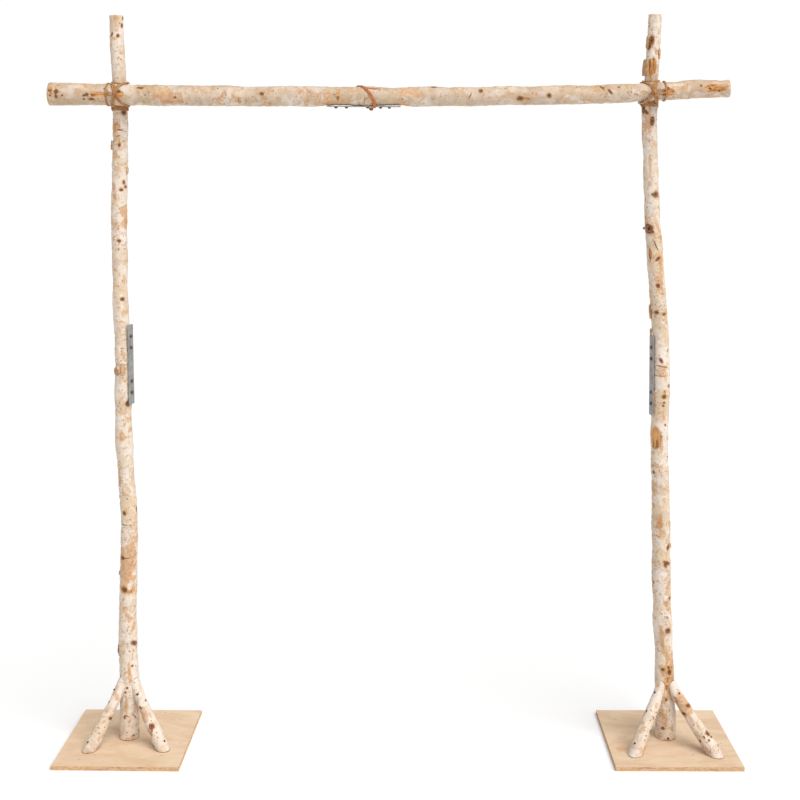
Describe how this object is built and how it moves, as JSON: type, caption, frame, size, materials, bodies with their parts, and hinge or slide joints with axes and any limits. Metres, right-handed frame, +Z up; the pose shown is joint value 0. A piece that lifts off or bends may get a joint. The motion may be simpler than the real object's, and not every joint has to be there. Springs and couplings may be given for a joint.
{
  "type": "birch log wedding arch",
  "caption": "Open frame of a chuppah or wedding arch: birch log posts on square plywood boards with slanted struts, and a log crossbeam lashed across their front.",
  "frame": {"origin": "on the ground, under the middle of the arch's outer box", "axes": "+X along the crossbeam to the right as seen from the front, +Y from the front to the back, +Z up"},
  "size_m": [2.2616, 0.419, 2.438],
  "materials": {
    "birch_bark": "rough peeling bark, matt",
    "birch_strut": "rough bark, matt",
    "plywood": "sanded, unvarnished, layered edges",
    "galvanised_steel": "dull zinc coating",
    "screw_steel": "dark, weathered",
    "rawhide": "dry, matt, slightly glossy on the strands"
  },
  "bodies": {
    "root": {"left_base_board": "plywood", "left_base_left_strut": "birch_strut", "left_base_right_strut": "birch_strut", "right_base_board": "plywood", "right_base_left_strut": "birch_strut", "right_base_right_strut": "birch_strut", "left_post_lower": "birch_bark", "left_post_upper": "birch_bark", "right_post_lower": "birch_bark", "right_post_upper": "birch_bark", "beam_left_half": "birch_bark", "beam_right_half": "birch_bark", "left_post_splice_plate": "galvanised_steel", "left_post_splice_screw_1": "screw_steel", "left_post_splice_screw_2": "screw_steel", "left_post_splice_screw_3": "screw_steel", "left_post_splice_screw_4": "screw_steel", "right_post_splice_plate": "galvanised_steel", "right_post_splice_screw_1": "screw_steel", "right_post_splice_screw_2": "screw_steel", "right_post_splice_screw_3": "screw_steel", "right_post_splice_screw_4": "screw_steel", "beam_splice_plate": "galvanised_steel", "beam_splice_screw_1": "screw_steel", "beam_splice_screw_2": "screw_steel", "beam_splice_screw_3": "screw_steel", "beam_splice_screw_4": "screw_steel", "beam_seam_strap": "rawhide", "left_lashing": "rawhide", "right_lashing": "rawhide"}
  },
  "joints": []
}
